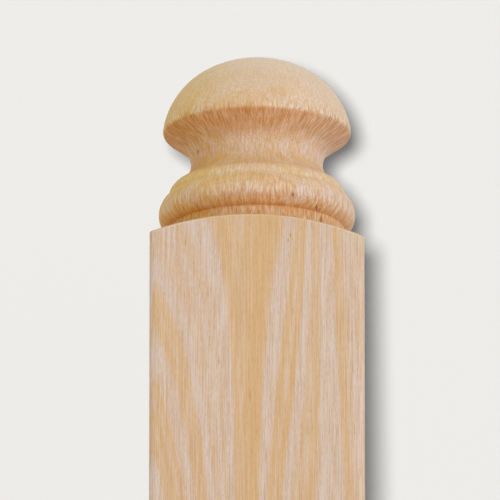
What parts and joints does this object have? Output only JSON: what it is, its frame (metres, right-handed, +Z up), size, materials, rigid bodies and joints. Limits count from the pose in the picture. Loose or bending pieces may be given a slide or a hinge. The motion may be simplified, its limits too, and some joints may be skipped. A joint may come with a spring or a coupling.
{
  "type": "fence post cap",
  "caption": "Turned pine mushroom cap screwed to the square, dome-shouldered head of a fence post, with a round socket underneath for the post's peg.",
  "frame": {"origin": "centre of the square head's underside", "axes": "+Z up along the turning axis, -Y out of the front face of the square head, +X to its right"},
  "size_m": [0.09, 0.09, 0.2308],
  "materials": {
    "cap_pine": "bare turned softwood, fine sanded",
    "post_pine": "bare planed softwood",
    "zinc_steel": "bright zinc plate"
  },
  "bodies": {
    "post": {"post_block": "post_pine", "hanger_bolt": "zinc_steel"},
    "insert": {"cap_insert": "zinc_steel"},
    "cap": {"turned_cap": "cap_pine"}
  },
  "joints": [
    {"name": "cap_rise", "type": "slide", "parent": "post", "child": "insert", "axis": [0, 0, 1], "range_m": [0, 0.02]},
    {"name": "cap_turn", "type": "hinge", "parent": "insert", "child": "cap", "pos_m": [0, 0, 0.15115], "axis": [0, 0, 1], "range_deg": [0, 5760]}
  ],
  "couplings": [
    {"joint": "cap_rise", "follows": "cap_turn", "m_per_rad": 0.00019894}
  ]
}
